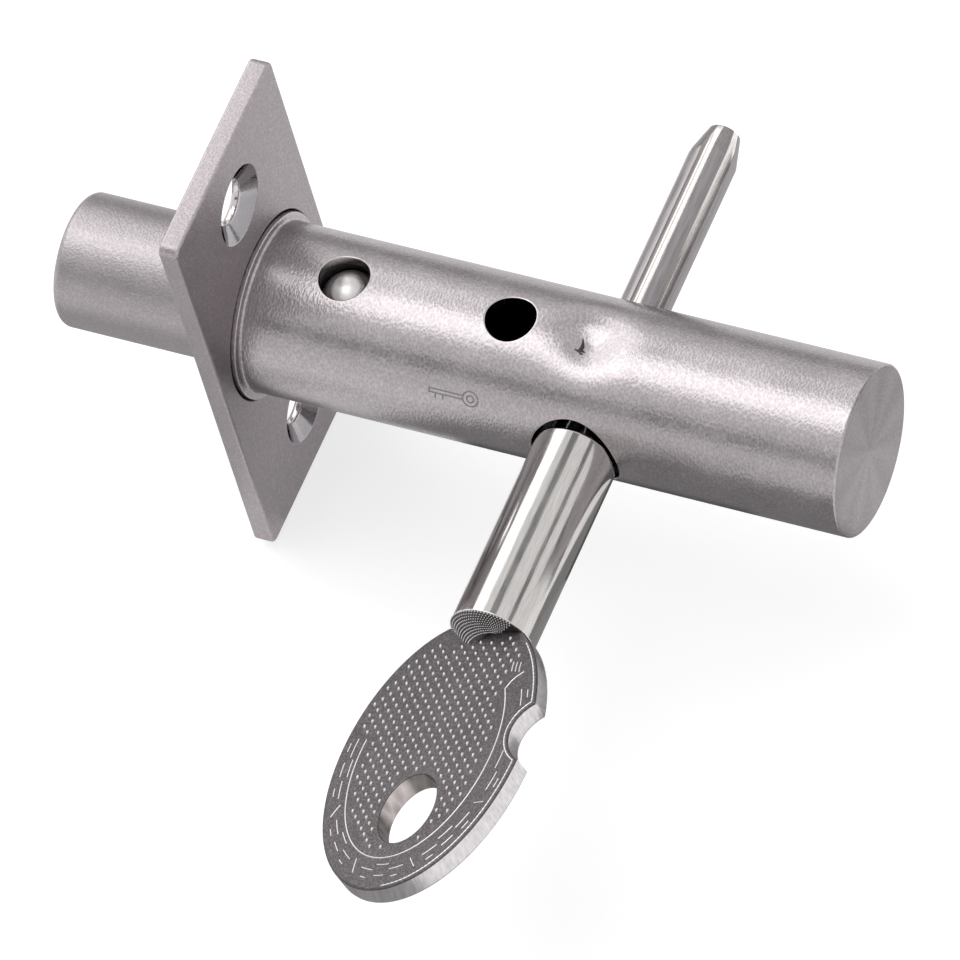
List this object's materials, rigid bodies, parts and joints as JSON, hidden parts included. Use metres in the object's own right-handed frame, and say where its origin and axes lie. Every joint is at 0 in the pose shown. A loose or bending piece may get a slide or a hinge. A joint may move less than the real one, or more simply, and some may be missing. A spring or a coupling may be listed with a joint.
{
  "type": "concealed door lock",
  "caption": "Concealed door lock: a key with a ribbed bit turns in a tube and drives a round bolt by its rack, held at each end by a sprung ball.",
  "frame": {"origin": "centre of the faceplate's rear face, on the axis of the tube", "axes": "+X along the tube from the faceplate to the closed end, so the bolt is thrown towards -X; -Y towards the key's bow and +Y towards the tip of its bit; +Z along the door's edge, through the detent holes"},
  "size_m": [0.0879, 0.0953, 0.0532],
  "materials": {
    "plate_steel": "satin",
    "satin_steel": "satin with a fine round grain",
    "bright_steel": "polished",
    "cast_nickel": "grey nickel with rows of small raised dots"
  },
  "bodies": {
    "housing": {"faceplate": "plate_steel", "housing_tube": "satin_steel", "end_cap": "satin_steel"},
    "bolt": {"bolt": "satin_steel", "detent_spring": "bright_steel"},
    "ball": {"detent_ball": "bright_steel"},
    "key": {"key_bow": "cast_nickel", "key_shank": "bright_steel", "key_bit": "bright_steel"}
  },
  "joints": [
    {"name": "key_turn", "type": "hinge", "parent": "housing", "child": "key", "pos_m": [0.0374, 0, 0], "axis": [0, -1, 0], "range_deg": [0, 505]},
    {"name": "bolt_slide", "type": "slide", "parent": "housing", "child": "bolt", "axis": [1, 0, 0], "range_m": [0, 0.0185]},
    {"name": "ball_press", "type": "slide", "parent": "bolt", "child": "ball", "axis": [0, 0, 1], "range_m": [-0.0006, 0.0009], "stiffness_N_per_m": 1500, "deforming": ["detent_spring"]}
  ],
  "couplings": [
    {"joint": "key_turn", "follows": "bolt_slide", "rad_per_m": 476.19}
  ]
}
